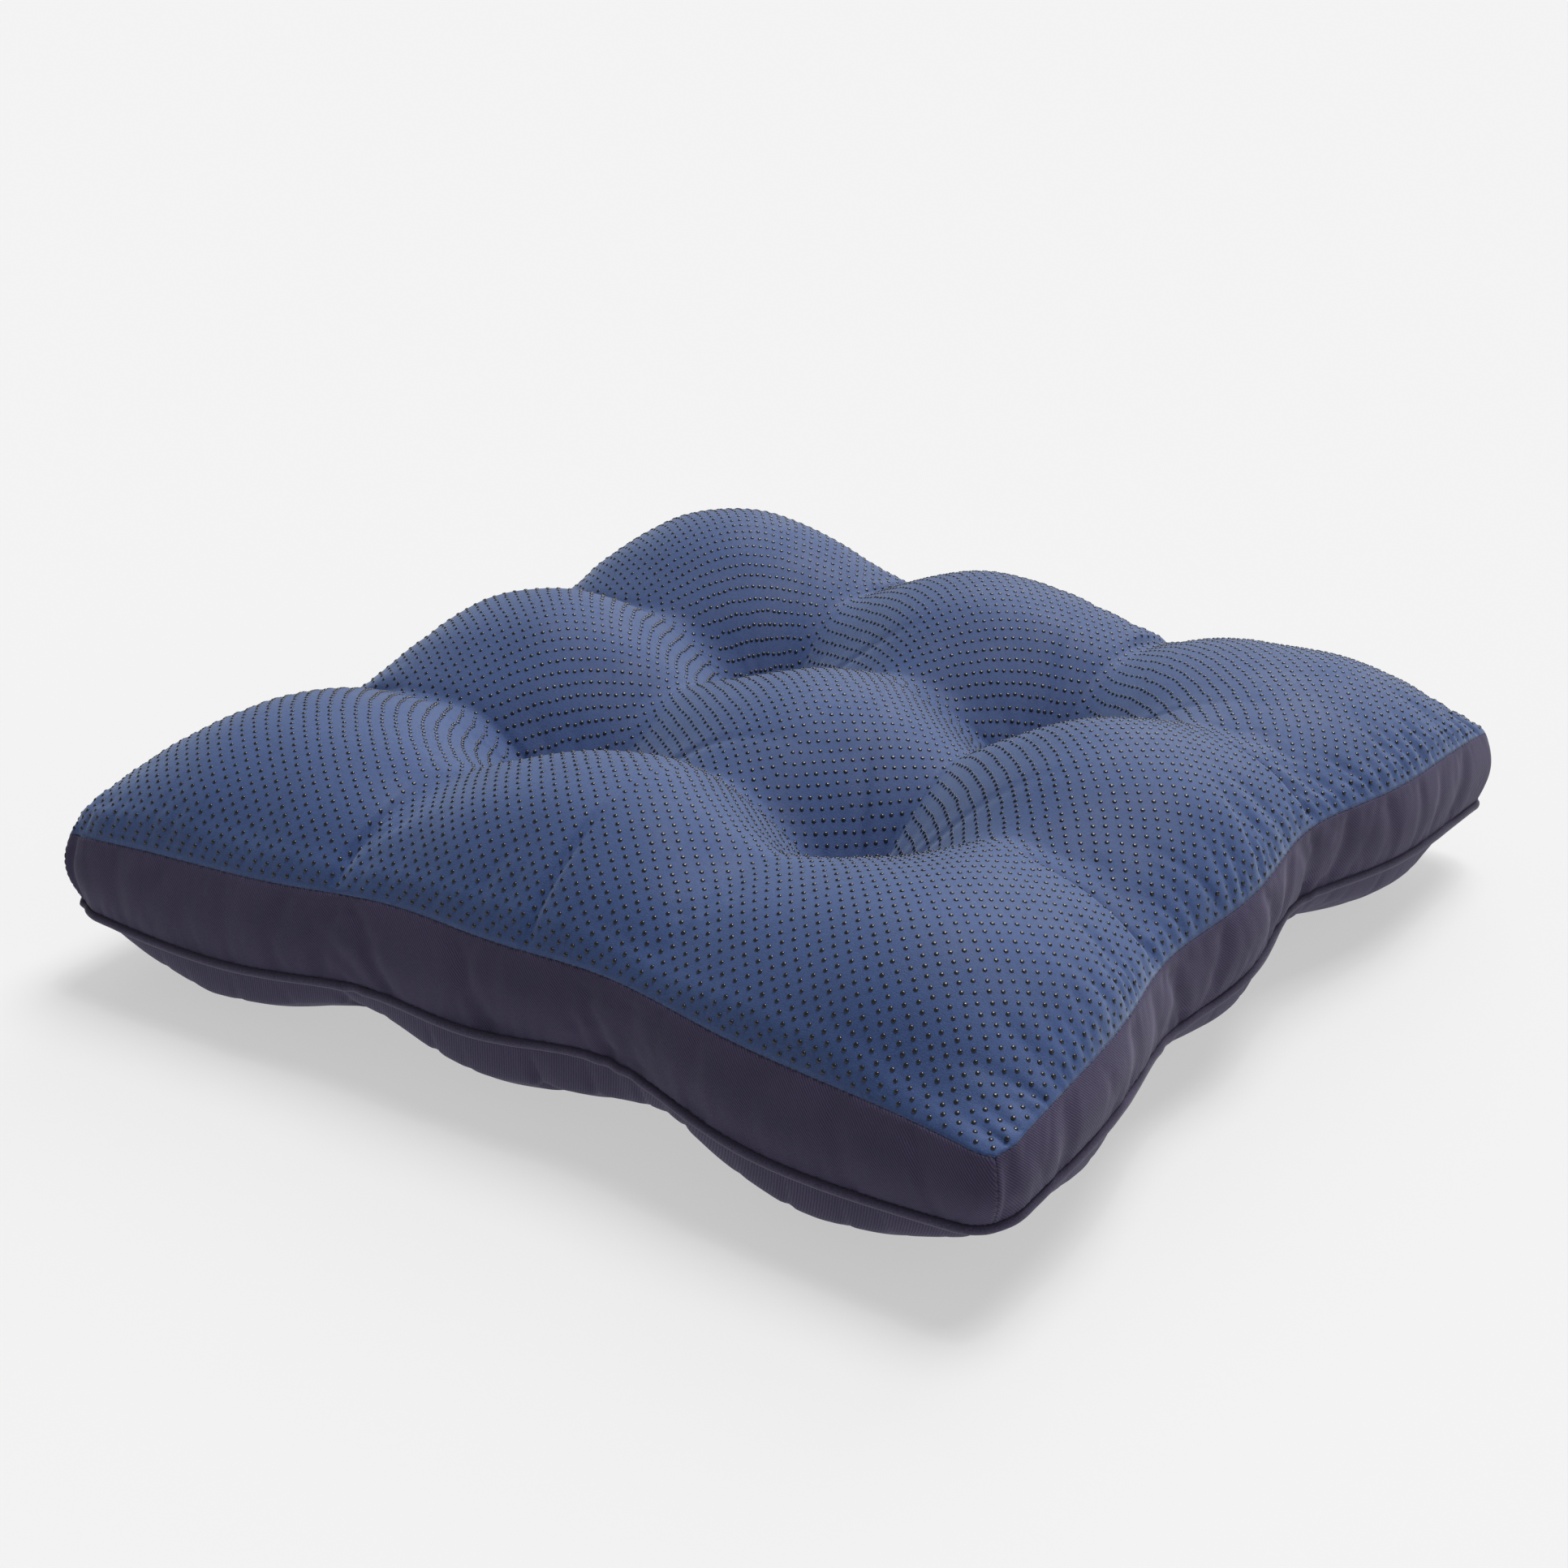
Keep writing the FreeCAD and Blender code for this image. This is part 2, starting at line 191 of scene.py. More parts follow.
# Soft folds and unevenness
WAVES = 9
PANEL_WAVES = (46 * MM, 0.45 * MM)      # length, height
GUSSET_WAVES = (60 * MM, 0.5 * MM)
SETTLED_FROM_SEAM = 8 * MM
GUSSET_PUCKERS = {"top": 0.35 * MM, "piping": 0.6 * MM}
GUSSET_PUCKER_SHIFT = 4 * MM
GUSSET_FADE = 6 * MM
GUSSET_END_FADE = 5 * MM
VALLEY_FOLD = (2.2 * MM, 5 * MM)        # depth, width
VALLEY_FOLD_LEAN = 0.25
SOFT_FOLD = (1.5 * MM, 5.5 * MM)

# Dots, thread, piping, ties and fill
DOT_RADIUS = 0.92 * MM
DOT_HEIGHT = 0.45 * MM
DOT_SIDES = 9
DOT_PROFILE = [(1.0, -0.35), (0.98, 0.25), (0.78, 0.70), (0.42, 0.95)]      # radius, height
DOTS_ALONG_A_SIDE = 72
DOT_STRAY = 0.12 * MM
THREAD_RADIUS = 0.36 * MM
THREAD_SUNK = 0.5 * MM      # how far the stitches lie below the bottom of their groove
THREAD_SIDES = 7
STITCH_LENGTH = 0.86 * STITCH
STITCH_BOW = 0.30 * MM
PIPING_RADIUS = (PIPING_HIGH - PIPING_LOW) / 2 * 0.66
PIPING_STANDOUT = 0.30      # share of its radius by which its middle stands out of the seam
PIPING_SIDES = 14
CORD_SHARE = 0.62
CORD_SIDES = 10
TIE_BAR = 6 * MM
TIE_BAR_RADIUS = 0.6 * MM
TIE_BAR_BOW = 1.0 * MM
TIE_BAR_LIFT = 0.3 * MM
STRAND_RADIUS = 0.5 * MM
STRAND_TWIST = 0.45 * MM
STRAND_TURNS = 4
STRAND_POINTS = 24
FILL_INSET = 5 * MM

# Colours
BLUE_DARK = (0.014, 0.035, 0.120)
BLUE_LIGHT = (0.034, 0.073, 0.212)
TWILL_PITCH = 1.2 * MM
TWILL_DARK = (0.019, 0.015, 0.040)
TWILL_LIGHT = (0.063, 0.049, 0.107)
TWILL_FUZZ = (0.110, 0.100, 0.150)

# Stage
FLOOR_REACH = 20.0
FLOOR_DROP = 0.05 * MM
FLOOR_TONE = 0.28
FLOOR_GLOW = 0.515          # the lit backdrop that keeps shadows light
SKY = 0.24
SOFT_LIGHTS = [             # name, direction towards it, strength, spread
    ("key", (0.06, 0.38, 0.92), 2.9, 34.0),
    ("back", (-0.20, 0.84, 0.50), 1.1, 40.0),
    ("side", (0.94, 0.05, 0.34), 0.35, 60.0),
    ("lamp", (0.05, 0.25, 0.97), 0.22, 4.0),
]
CAMERA_AZIMUTH = 34.40
CAMERA_ELEVATION = 23.52
CAMERA_DISTANCE = 1.3063
CAMERA_LENS = 59.25
CAMERA_TARGET = (-0.1009, 0.1254, -0.0060)


# ---------------------------------------------------------------- the shape that the cloth is held to

def seam(name, s, level):
    """Points of the top seam or the piping line along one side."""
    side = SIDES[name]
    corners = TOP_CORNERS if level == "top" else PIPING_CORNERS
    swell = 1 - s ** 4
    inward, lift = (amount * swell for amount in side[level])
    for place, draw_in, rise in side[level + "_valleys"]:
        near = np.exp(-((s - place) / VALLEY_WIDTH) ** 2)
        inward = inward + draw_in * near
        lift = lift + rise * near
    start, end = (corners[i] for i in ENDS[name])
    share = ((1 + s) / 2)[..., None]
    points = start * (1 - share) + end * share
    return points + inward[..., None] * MM * INWARD[name] + lift[..., None] * MM * UP


def rounded(points, radius):
    """Move what lies in the plan's corner squares onto arcs of the given radius."""
    plan = np.abs(points[..., :2])
    start = HALF - radius
    beyond = np.maximum(plan - start, 0)
    length = np.maximum(np.linalg.norm(beyond, axis=-1, keepdims=True), 1e-9)
    moved = points.copy()
    moved[..., :2] = np.sign(points[..., :2]) * (np.minimum(plan, start)
                                                 + beyond * beyond.max(-1, keepdims=True) / length)
    return moved


def unit(vectors):
    return vectors / np.maximum(np.linalg.norm(vectors, axis=-1, keepdims=True), 1e-9)


def stretched_between_seams(u, v, level):
    """Smooth patch that fills the four seams of a panel."""
    corners = TOP_CORNERS if level == "top" else PIPING_CORNERS
    x = ((1 + u) / 2)[..., None]
    y = ((1 + v) / 2)[..., None]
    across = (1 - y) * seam("front", u, level) + y * seam("back", u, level)
    along = (1 - x) * seam("left", v, level) + x * seam("right", v, level)
    flat = (1 - x) * (1 - y) * corners[0] + x * (1 - y) * corners[1]
    flat = flat + x * y * corners[2] + (1 - x) * y * corners[3]
    return across + along - flat


def crown(u):
    """1 on the middle line of a lobe, 0 on a tuft line, 1 past the outer lobes' middles."""
    wave = np.cos(LOBES / 2 * np.pi * u)
    low = (np.sqrt(wave ** 2 + DIMPLE_ROUNDING ** 2) - DIMPLE_ROUNDING)
    low = low / (math.sqrt(1 + DIMPLE_ROUNDING ** 2) - DIMPLE_ROUNDING)
    return np.where(np.abs(u) < 2 / LOBES, low, 1.0)


def edge_fade(u, v, level):
    """1 inside the outer lobes' middles and 0 at the seams, lower still towards thin corners."""
    across, along = (np.clip((np.abs(place) - 2 / LOBES) * LOBES, 0, 1) for place in (u, v))
    side = EDGE_FULLNESS[level]
    thinning = 1 + CORNER_THINNING[level][(u > 0).astype(int), (v > 0).astype(int)] * across * along
    over_u = (1 - across ** 2) ** (thinning * np.where(u > 0, side["right"], side["left"]))
    over_v = (1 - along ** 2) ** (thinning * np.where(v > 0, side["back"], side["front"]))
    return over_u * over_v


def lobe_number(u):
    return np.clip(np.floor((u + 1) * (LOBES / 2)), 0, LOBES - 1).astype(int)


def top_saddles(u, v):
    """Height of the valleys of the top, which rise towards the front and the right side."""
    rise = np.maximum(SADDLE_RISE["front"] * np.clip(-LOBES * v - 1, 0, 1),
                      SADDLE_RISE["right"] * np.clip(LOBES * u - 1, 0, 1))
    return TOP_SADDLE + rise


def panel(u, v, level):
    points = stretched_between_seams(u, v, level)
    across = crown(u)
    along = crown(v)
    both = across * along
    if level == "top":
        tuft, saddle, crest = TOP_TUFT, top_saddles(u, v), TOP_CROWNS[lobe_number(u), lobe_number(v)]
    else:
        tuft, saddle, crest = UNDER_TUFT, UNDER_SADDLE, UNDER_CROWN
    lobes = tuft + (saddle - tuft) * (across + along - 2 * both) + (crest - tuft) * both
    fade = edge_fade(u, v, level)
    points[..., 2] = points[..., 2] * (1 - fade) + lobes * MM * fade
    return rounded(points, CORNER_RADIUS[level])


def gusset(name, s, t):
    low = seam(name, s, "piping")
    high = seam(name, s, "top")
    share = t[..., None]
    radius = CORNER_RADIUS["piping"] * (1 - share) + CORNER_RADIUS["top"] * share
    points = rounded(low + (high - low) * share, radius)
    plan = points[..., :2]
    turning = np.maximum(np.abs(plan) - (HALF - BULGE_TURN), 0) * np.sign(plan)
    bulge = GUSSET_BULGE * (1 + CORNER_BULGE * s ** 4) * np.sin(np.pi * t)
    points[..., :2] += unit(turning) * bulge[..., None]
    return points


# ---------------------------------------------------------------- the simulated cover

def index_grids():
    """Vertex numbers of the top, the underside and the gusset band, which share their seams."""
    size = CELLS + 1
    top = np.arange(size * size).reshape(size, size)
    under = top + size * size
    ring = 4 * CELLS
    band = np.zeros((ring, BAND_CELLS + 1), int)
    for k in range(1, BAND_CELLS):
        band[:, k] = 2 * size * size + (k - 1) * ring + np.arange(ring)
    for k, grid in ((0, under), (BAND_CELLS, top)):
        band[:, k] = np.concatenate([grid[:-1, 0], grid[-1, :-1], grid[:0:-1, -1], grid[0, :0:-1]])
    return top, under, band


def side_of_band(band, number):
    """The part of the band on one side, from left to right as seen from outside."""
    columns = np.arange(number * CELLS, (number + 1) * CELLS + 1) % len(band)
    return band[columns]


def even_grid(first, count):
    """Two grids of places: one from -1 to 1 down the rows, one from `first` to 1 along them."""
    return np.meshgrid(np.linspace(-1, 1, CELLS + 1), np.linspace(first, 1, count + 1), indexing="ij")


def held_shape(top, under, band):
    """Places of all vertices on the shape that the seams and tufts hold."""
    places = np.zeros((band[:, 1:-1].max() + 1, 3))
    u, v = even_grid(-1, CELLS)
    s, t = even_grid(0, BAND_CELLS)
    for number, name in enumerate(SIDE_NAMES):
        grid = gusset(name, s, t)
        if name in ("back", "left"):
            grid = grid[::-1]
        places[side_of_band(band, number)] = grid
    places[top] = panel(u, v, "top")
    places[under] = panel(u, v, "piping")
    return places


def quads(grid):
    return np.stack([grid[:-1, :-1], grid[1:, :-1], grid[1:, 1:], grid[:-1, 1:]], -1).reshape(-1, 4)


def cloth_faces(top, under, band):
    closed_band = np.vstack([band, band[:1]])
    return np.vstack([quads(top), quads(under)[:, ::-1], quads(closed_band)]).tolist()


def tuft_cells():
    """Grid place of each tuft, in the order of CORNER_NAMES."""
    near = CELLS // LOBES
    far = CELLS - near
    return [(near, near), (far, near), (far, far), (near, far)]


def tuft_spots(grid):
    """The few vertices of a panel that each tuft's stitch holds."""
    spots = []
    for i, j in tuft_cells():
        spots += [grid[i, j], grid[i + 1, j], grid[i - 1, j], grid[i, j + 1], grid[i, j - 1]]
    return [int(spot) for spot in spots]


def hold_seams_and_tufts(trial, top, under, band):
    held = trial.vertex_groups.new(name="held")
    held.add([int(i) for i in np.unique(band[:, [0, -1]])], SEAM_HOLD, "REPLACE")
    held.add([int(i) for i in band[::CELLS, [0, -1]].ravel()], CORNER_HOLD, "REPLACE")
    held.add(tuft_spots(top) + tuft_spots(under), TUFT_HOLD, "REPLACE")


def add_cloth(trial, cut):
    cloth = trial.modifiers.new("cloth", "CLOTH")
    cloth.collision_settings.use_collision = False
    for key, value in CLOTH_SETTINGS.items():
        setattr(cloth.settings, key, value)
    cloth.settings.vertex_group_mass = "held"
    cloth.settings.effector_weights.gravity = 0.0
    cloth.settings.rest_shape_key = cut
    cloth.point_cache.frame_start = 1
    cloth.point_cache.frame_end = FRAMES


def inflate(places, top, under, band):
    """Blow the cover up with Blender's cloth, with its tufts and seams held, and return the places."""
    mesh = bpy.data.meshes.new("cloth_trial")
    mesh.from_pydata(places.tolist(), [], cloth_faces(top, under, band))
    trial = bpy.data.objects.new("cloth_trial", mesh)
    bpy.context.scene.collection.objects.link(trial)
    trial.shape_key_add(name="start")
    cut = trial.shape_key_add(name="cut")
    cut_places = places * [CUT_ALLOWANCE, CUT_ALLOWANCE, 1.0]
    cut.data.foreach_set("co", cut_places.astype(np.float32).ravel())
    cut.value = 0.0
    hold_seams_and_tufts(trial, top, under, band)
    add_cloth(trial, cut)
    for number in range(1, FRAMES + 1):
        bpy.context.scene.frame_set(number)
    settled = trial.evaluated_get(bpy.context.evaluated_depsgraph_get()).to_mesh()
    result = np.zeros(len(settled.vertices) * 3, np.float32)
    settled.vertices.foreach_get("co", result)
    bpy.context.scene.frame_set(1)
    bpy.data.objects.remove(trial)
    bpy.data.meshes.remove(mesh)
    return result.reshape(-1, 3).astype(float)


# ---------------------------------------------------------------- from the settled cloth to fine patches

def lines_across():
    """Places of a fine patch's grid lines from 0 to 1, closer together near both borders."""
    inner = np.linspace(BORDER, SIDE - BORDER, int(round((SIDE - 2 * BORDER) / FINE_STEP)) + 1)
    near = np.linspace(0, BORDER, int(round(BORDER / BORDER_STEP)) + 1)[:-1]
    return np.concatenate([near, inner, (SIDE - near)[::-1]]) / SIDE


def reader(count, places):
    """Matrix that reads smoothly between `count` even points at the given places from 0 to 1."""
    matrix = np.zeros((len(places), count))
    for row, place in enumerate(places * (count - 1)):
        start = min(int(place), count - 2)
        f = place - start
        weights = [(-f + 2 * f ** 2 - f ** 3) / 2, (2 - 5 * f ** 2 + 3 * f ** 3) / 2,
                   (f + 4 * f ** 2 - 3 * f ** 3) / 2, (f ** 3 - f ** 2) / 2]
        for column, weight in zip(range(start - 1, start + 3), weights):
            if column < 0:
                matrix[row, 0] += 2 * weight
                matrix[row, 1] -= weight
            elif column >= count:
                matrix[row, count - 1] += 2 * weight
                matrix[row, count - 2] -= weight
            else:
                matrix[row, column] += weight
    return matrix


def refined(points, places_u, places_v):
    read_u = reader(points.shape[0], places_u)
    read_v = reader(points.shape[1], places_v)
    return np.einsum("ia,abk,jb->ijk", read_u, points, read_v)


def normals(points):
    """Outward normals of a patch whose u and v run anticlockwise seen from outside."""
    along_u = np.gradient(points, axis=0)
    along_v = np.gradient(points, axis=1)
    return unit(np.cross(along_u, along_v))


def vertex_normals(places, faces):
    """Normals of the coarse cover, shared across its seams."""
    corners = places[np.array(faces)]
    face_normals = np.cross(corners[:, 2] - corners[:, 0], corners[:, 3] - corners[:, 1])
    total = np.zeros_like(places)
    for column in range(4):
        np.add.at(total, np.array(faces)[:, column], face_normals)
    return unit(total)


def smooth_noise(count, height):
    """Repeatable noise read at places of any number, with `count` random values in a ring."""
    values = RANDOM.uniform(-1, 1, count)

    def read(places):
        base = np.floor(places).astype(int)
        f = places - base
        ease = f * f * (3 - 2 * f)
        return (values[base % count] * (1 - ease) + values[(base + 1) % count] * ease) * height
    return read


WANDER = smooth_noise(count=97, height=2.0)


# ---------------------------------------------------------------- seams, puckers, creases and folds

def bump(distance, width):
    """1 at no distance, and next to nothing two widths away."""
    return np.exp(-(distance / width) ** 2)


def pucker_rows(level):
    """A row of uneven puckers along a seam: where each is, how long, how deep and how it leans."""
    closest, widest = PUCKER_SPACING[level]
    places = np.cumsum(RANDOM.uniform(closest, widest, int(SIDE / closest)))
    places = places[places < SIDE - PUCKER_END_MARGIN]
    return [(place, RANDOM.uniform(*PUCKER_LENGTH) * MM, RANDOM.uniform(0.3, 1.0),
             RANDOM.uniform(-PUCKER_LEAN, PUCKER_LEAN)) for place in places]


def puckers(along, away, rows, strength):
    """Depth of the short furrows that run from a seam into the cloth."""
    depth = np.zeros_like(along)
    for place, length, share, lean in rows:
        across = along - place - lean * away
        width = PUCKER_WIDTH + PUCKER_SPREAD * away
        reach = bump(away, length) * np.clip(away / PUCKER_START, 0, 1)
        depth += strength * share * reach * bump(across, width)
    return depth


def stitched_groove(along, away, depth, width):
    """The groove along a seam, deeper at each stitch."""
    stitches = 1 - STITCH_RELIEF + STITCH_RELIEF * np.cos(2 * np.pi * along / STITCH)
    return depth * stitches * bump(away, width)


def sharp_creases(name, along, away):
    """Folds that run inwards from a side: a narrow furrow with a drop beside it and a low roll."""
    depth = np.zeros_like(along)
    for number, (place, deep) in enumerate(SIDES[name]["creases"]):
        bend = WANDER(away / FOLD_WANDER + 11 * number) * MM
        across = along - HALF * (1 + place) - bend
        reach = bump(away - FOLD_PLACE, FOLD_REACH) * np.clip(away / FOLD_START, 0, 1)
        furrow = FURROW[0] * np.exp(-np.abs(across) / FURROW[1])
        drop = DROP[0] * (1 + np.tanh(across / DROP[1])) / 2 * np.exp(-np.maximum(across, 0) / DROP_LENGTH)
        roll = ROLL[0] * bump(across + ROLL_PLACE, ROLL[1])
        depth += deep * MM * reach * (furrow + drop - roll)
    return depth


def pleats_round_tufts(points, tufts):
    """Pleats that run out from each tuft: long ones along the four valleys, short ones between them."""
    total = np.zeros(points.shape[:2])
    for tuft in tufts:
        away = points[..., :2] - tuft[:2]
        radius = np.linalg.norm(away, axis=-1)
        angle = np.arctan2(away[..., 1], away[..., 0])
        for number in range(PLEATS):
            middle = number * 2 * np.pi / PLEATS + RANDOM.uniform(-PLEAT_TURN, PLEAT_TURN)
            lengths = LONG_PLEATS if number % (PLEATS // 4) in (0, 1) else SHORT_PLEATS
            length = RANDOM.uniform(*lengths) * MM
            share = RANDOM.uniform(0.35, 1.0)
            across = radius * np.sin(angle - middle)
            ahead = np.cos(angle - middle) > 0
            reach = np.clip(radius / PLEAT_START, 0, 1) * bump(radius, length)
            width = PLEAT_WIDTH + PLEAT_SPREAD * radius
            total += PLEAT_DEPTH * share * ahead * reach * bump(across, width)
    return total


def waves(points, wavelength, height):
    """Gentle unevenness from a few random waves, the same in every direction."""
    total = np.zeros(points.shape[:2])
    for _ in range(WAVES):
        direction = unit(RANDOM.normal(size=3))
        length = wavelength * RANDOM.uniform(0.7, 1.6)
        phase = RANDOM.uniform(0, 2 * np.pi)
        total += np.sin(points @ direction * 2 * np.pi / length + phase)
    return total * height / math.sqrt(WAVES)


def panel_depth(points, lines, level, tufts, rows):
    """How far each point of the top or the underside is pressed in by seams, puckers and folds."""
    u, v = np.meshgrid(lines * SIDE, lines * SIDE, indexing="ij")
    away_from = {"front": v, "right": SIDE - u, "back": SIDE - v, "left": u}
    nearest = np.minimum.reduce(list(away_from.values()))
    seam_groove = TOP_GROOVE if level == "top" else PIPING_GROOVE
    depth = np.zeros_like(nearest)
    for name, away in away_from.items():
        along = u if name in ("front", "back") else v
        depth += puckers(along, away, rows[name], PUCKER_DEPTHS[level][name])
        depth += sharp_creases(name, along, away)
        depth = np.maximum(depth, stitched_groove(along, away, *seam_groove))
    depth += pleats_round_tufts(points, tufts)
    if level == "top":
        depth -= LIP_HEIGHT * bump(nearest - LIP_PLACE, LIP_WIDTH)
    return depth + np.clip(nearest / SETTLED_FROM_SEAM, 0, 1) * waves(points, *PANEL_WAVES)


def gusset_folds(name, rows, along, up, below, above):
    """Upright folds of a gusset strip: one at each valley of its seams, and softer ones between."""
    depth = np.zeros_like(along)
    for place, _, _ in SIDES[name]["piping_valleys"]:
        across = along - HALF * (1 + place) - VALLEY_FOLD_LEAN * (above - below)
        depth += VALLEY_FOLD[0] * (1 - 0.6 * up) * bump(across, VALLEY_FOLD[1])
    for place, _, share, lean in rows[::4]:
        across = along - place - lean * above
        depth += SOFT_FOLD[0] * share * bump(across, SOFT_FOLD[1])
    return depth


def gusset_depth(points, lines, heights, name, rows):
    """How far each point of a gusset strip is pressed in."""
    along, up = np.meshgrid(lines * SIDE, heights, indexing="ij")
    if name in ("back", "left"):
        along = SIDE - along
    strip = np.linalg.norm(points[:, -1:] - points[:, :1], axis=-1)
    below = up * strip
    above = (1 - up) * strip
    corner = np.minimum(along, SIDE - along)
    inside = np.clip(np.minimum(below, above) / GUSSET_FADE, 0, 1)
    depth = puckers(along, above, rows, GUSSET_PUCKERS["top"])
    depth += puckers(along + GUSSET_PUCKER_SHIFT, below, rows, GUSSET_PUCKERS["piping"])
    depth += inside * gusset_folds(name, rows, along, up, below, above)
    depth += inside * waves(points, *GUSSET_WAVES)
    depth *= np.clip(corner / GUSSET_END_FADE, 0, 1)
    depth = np.maximum(depth, stitched_groove(along, above, *TOP_GROOVE))
    depth = np.maximum(depth, stitched_groove(along, below, *PIPING_GROOVE))
    return np.maximum(depth, stitched_groove(below, corner, *CORNER_GROOVE))


def on_the_floor(points):
    """Flatten what would sink below the floor, with a soft edge."""
    soft = FLOOR_ROUNDING
    z = points[..., 2]
    near = (z + soft) ** 2 / (4 * soft)
    flattened = points.copy()
    flattened[..., 2] = np.where(z > soft, z, np.where(z < -soft, 0.0, near))
    return flattened


# ---------------------------------------------------------------- meshes

def every(count, step):
    """Every so many-th index, with the last one."""
    return np.unique(np.append(np.arange(0, count, step), count - 1))


def deepest_around(depth, rows, columns, step):
    """Largest depth near each coarse point, so that an inner face stays inside every fold."""
    found = np.zeros((len(rows), len(columns)))
    for i, row in enumerate(rows):
        for j, column in enumerate(columns):
            near = depth[max(row - step, 0):row + step + 1, max(column - step, 0):column + step + 1]
            found[i, j] = near.max()
    return found


def rim(outer_line, inner_line, rows, forward):
    """Faces between the outer and inner edges of a patch, one for each inner segment."""
    faces = []
    for i in range(len(inner_line) - 1):
        stretch = list(outer_line[rows[i]:rows[i + 1] + 1])
        if forward:
            faces.append(stretch + [inner_line[i + 1], inner_line[i]])
        else:
            faces.append(stretch[::-1] + [inner_line[i], inner_line[i + 1]])
    return faces


def closed_patch(points, outward, depth, on_floor=False):
    """Vertices, faces and outer grid of a cloth pressed in by depth, with an inner face and a closed rim.
    The cloth that lies on the floor is also turned over."""
    outer_points = points - outward * depth[..., None]
    rows = every(points.shape[0], INNER_STEP)
    columns = every(points.shape[1], INNER_STEP)
    inside = deepest_around(depth, rows, columns, INNER_STEP) + CLOTH_THICKNESS
    picked = np.ix_(rows, columns)
    inner_points = points[picked] - outward[picked] * inside[..., None]
    if on_floor:
        outer_points = on_the_floor(outer_points)
        inner_points[..., 2] = np.maximum(inner_points[..., 2], CLOTH_THICKNESS)
    outer = np.arange(points.shape[0] * points.shape[1]).reshape(points.shape[:2])
    inner = outer.size + np.arange(len(rows) * len(columns)).reshape(len(rows), len(columns))
    faces = quads(outer).tolist() + quads(inner)[:, ::-1].tolist()
    faces += rim(outer[:, 0], inner[:, 0], rows, False)
    faces += rim(outer[:, -1], inner[:, -1], rows, True)
    faces += rim(outer[0], inner[0], columns, True)
    faces += rim(outer[-1], inner[-1], columns, False)
    if on_floor:
        faces = [face[::-1] for face in faces]
    return np.vstack([outer_points.reshape(-1, 3), inner_points.reshape(-1, 3)]), faces, outer_points


def new_piece(name, points, faces, material, slot, nodes):
    mesh = bpy.data.meshes.new(name)
    mesh.from_pydata(np.asarray(points, float).tolist(), [], [[int(i) for i in face] for face in faces])
    mesh.polygons.foreach_set("use_smooth", [True] * len(mesh.polygons))
    mesh.materials.append(material)
    mesh.update()
    piece = bpy.data.objects.new(name, mesh)
    bpy.context.scene.collection.objects.link(piece)
    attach(piece, "root")
    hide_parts(*nodes)
    return piece


def tube(line, radius, sides, closed, sideways=UP):
    """Vertices and faces of a tube along a line of points, with flat ends if it is open."""
    line = np.asarray(line, float)
    count = len(line)
    if closed:
        ahead = unit(np.roll(line, -1, 0) - np.roll(line, 1, 0))
    else:
        ahead = unit(np.gradient(line, axis=0))
    across = unit(np.cross(ahead, sideways))
    lift = np.cross(across, ahead)
    angles = np.arange(sides) * 2 * np.pi / sides
    radius = np.broadcast_to(radius, (count,))[:, None, None]
    ring = across[:, None] * np.cos(angles)[:, None] + lift[:, None] * np.sin(angles)[:, None]
    points = (line[:, None] + ring * radius).reshape(-1, 3)
    faces = []
    for i in range(count if closed else count - 1):
        start = i * sides
        ahead_start = ((i + 1) % count) * sides
        for k in range(sides):
            after = (k + 1) % sides
            faces.append([start + k, start + after, ahead_start + after, ahead_start + k])
    if not closed:
        faces += [list(range(sides))[::-1], list(range((count - 1) * sides, count * sides))]
    return points, faces


def stamped(shape, shape_faces, centres, along, side, out):
    """Copies of a small shape, one at each centre, turned to its own three directions."""
    frames = np.stack([along, side, out], 1)
    points = centres[:, None] + np.einsum("pk,nkc->npc", shape, frames)
    faces = []
    for number in range(len(centres)):
        start = number * len(shape)
        faces += [[start + i for i in face] for face in shape_faces]
    return points.reshape(-1, 3), faces


# ---------------------------------------------------------------- materials

def new_material(name):
    """An empty node material with its shader, and functions that add a node and link two sockets."""
    material = bpy.data.materials.new(name)
    material.use_nodes = True
    tree = material.node_tree
    shader = tree.nodes["Principled BSDF"]

    def add(kind, settings=None, **sockets):
        """A socket is given by its name, or by n and its number."""
        node = tree.nodes.new(kind)
        for key, value in (settings or {}).items():
            setattr(node, key, value)
        for key, value in sockets.items():
            numbered = key[0] == "n" and key[1:].isdigit()
            socket = node.inputs[int(key[1:])] if numbered else node.inputs[key]
            if isinstance(value, bpy.types.NodeSocket):
                tree.links.new(value, socket)
            else:
                socket.default_value = value
        return node
    return material, shader, add, tree.links.new


def set_inputs(shader, values):
    for key, value in values.items():
        shader.inputs[key].default_value = value


def mixed(add, factor, first, second):
    """Colour mix node's output."""
    node = add("ShaderNodeMix", {"data_type": "RGBA", "blend_type": "MIX"}, n0=factor)
    for index, value in ((6, first), (7, second)):
        if isinstance(value, bpy.types.NodeSocket):
            node.id_data.links.new(value, node.inputs[index])
        else:
            node.inputs[index].default_value = (*value, 1.0)
    return node.outputs[2]


def noise(add, where, scale, detail=2.0, roughness=0.5):
    return add("ShaderNodeTexNoise", Vector=where, Scale=scale, Detail=detail,
               Roughness=roughness).outputs[0]


def stretched_range(add, value, low, high, to_low=0.0, to_high=1.0):
    return add("ShaderNodeMapRange", {"clamp": True}, n0=value, n1=low, n2=high,
               n3=to_low, n4=to_high).outputs[0]


def multiplied_and_added(add, value, factor, extra):
    return add("ShaderNodeMath", {"operation": "MULTIPLY_ADD"}, n0=value, n1=factor, n2=extra).outputs[0]


def add_relief(add, link, shader, height, strength, distance):
    relief = add("ShaderNodeBump", Strength=strength, Distance=distance, Height=height)
    link(relief.outputs[0], shader.inputs["Normal"])


